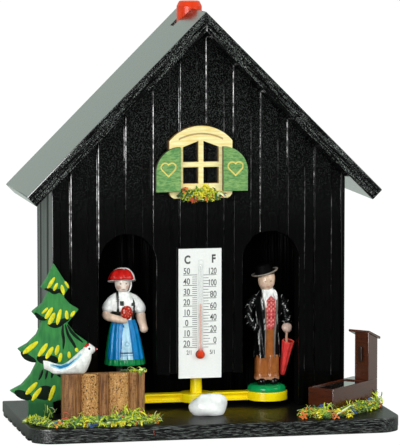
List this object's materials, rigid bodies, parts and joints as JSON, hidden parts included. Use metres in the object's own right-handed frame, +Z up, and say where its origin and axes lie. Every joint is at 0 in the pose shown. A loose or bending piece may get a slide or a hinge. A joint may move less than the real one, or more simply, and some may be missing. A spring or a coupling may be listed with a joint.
{
  "type": "weather house",
  "caption": "Gabled wooden weather house with arched doors, thermometer, and a woman and a man on a turnstile that a twisting strand of gut swings in and out.",
  "frame": {"origin": "centre of the base plate's flat underside", "axes": "+X to the right seen from the front, +Y to the back of the house, +Z up"},
  "size_m": [0.1382, 0.0713, 0.1525],
  "materials": {
    "black_lacquered_wood": "black lacquer over grooved boards",
    "pale_birch": "laser-cut birch plywood with scorched edges",
    "green_shutter_wood": "green stain on thin plywood",
    "flock": "dyed sawdust flock",
    "white_card": "white printed card",
    "tube_glass": "clear",
    "red_fluid": "dyed spirit",
    "red_chimney_plastic": "moulded, glossy",
    "painted_tree_wood": "hand painted in greens with yellow dabs",
    "bark_wood": "brown half-round poles",
    "painted_bird": "painted white and blue",
    "white_pebble": "glossy white",
    "brown_trough": "dark red-brown gloss",
    "trough_water": "clear varnish over dark paint",
    "dark_spout": "dark brown",
    "beech": "bare",
    "gut": "twisted, slightly glossy",
    "yellow_plastic": "moulded, glossy",
    "painted_figure": "hand painted, glossy",
    "red_umbrella": "glossy"
  },
  "bodies": {
    "house": {"base_plate": "black_lacquered_wood", "front_wall": "black_lacquered_wood", "left_side_wall": "black_lacquered_wood", "right_side_wall": "black_lacquered_wood", "back_wall": "black_lacquered_wood", "left_roof_board": "black_lacquered_wood", "right_roof_board": "black_lacquered_wood", "chimney": "red_chimney_plastic", "window_frame": "pale_birch", "left_shutter": "green_shutter_wood", "right_shutter": "green_shutter_wood", "window_flowers": "flock", "thermometer_card": "white_card", "thermometer_tube": "tube_glass", "thermometer_fluid": "red_fluid", "fir_tree": "painted_tree_wood", "log_palisade": "bark_wood", "bird": "painted_bird", "white_stone": "white_pebble", "trough": "brown_trough", "trough_water": "trough_water", "fountain_post": "brown_trough", "post_cap": "brown_trough", "spout": "dark_spout", "left_grass": "flock", "right_grass": "flock", "gut_hanger": "beech"},
    "adjuster": {"adjusting_peg": "beech", "gut_strand": "gut"},
    "turnstile_set": {"turnstile": "yellow_plastic", "woman_figure": "painted_figure", "man_figure": "painted_figure", "umbrella": "red_umbrella"}
  },
  "joints": [
    {"name": "peg_turn", "type": "hinge", "parent": "house", "child": "adjuster", "pos_m": [0, 0.0073, 0.0983], "axis": [0, 0, 1], "range_deg": [-8, 8]},
    {"name": "gut_twist", "type": "hinge", "parent": "adjuster", "child": "turnstile_set", "pos_m": [0, 0.0073, 0.0084], "axis": [0, 0, 1], "range_deg": [-28, 28], "stiffness_Nm_per_rad": 0.0002}
  ]
}
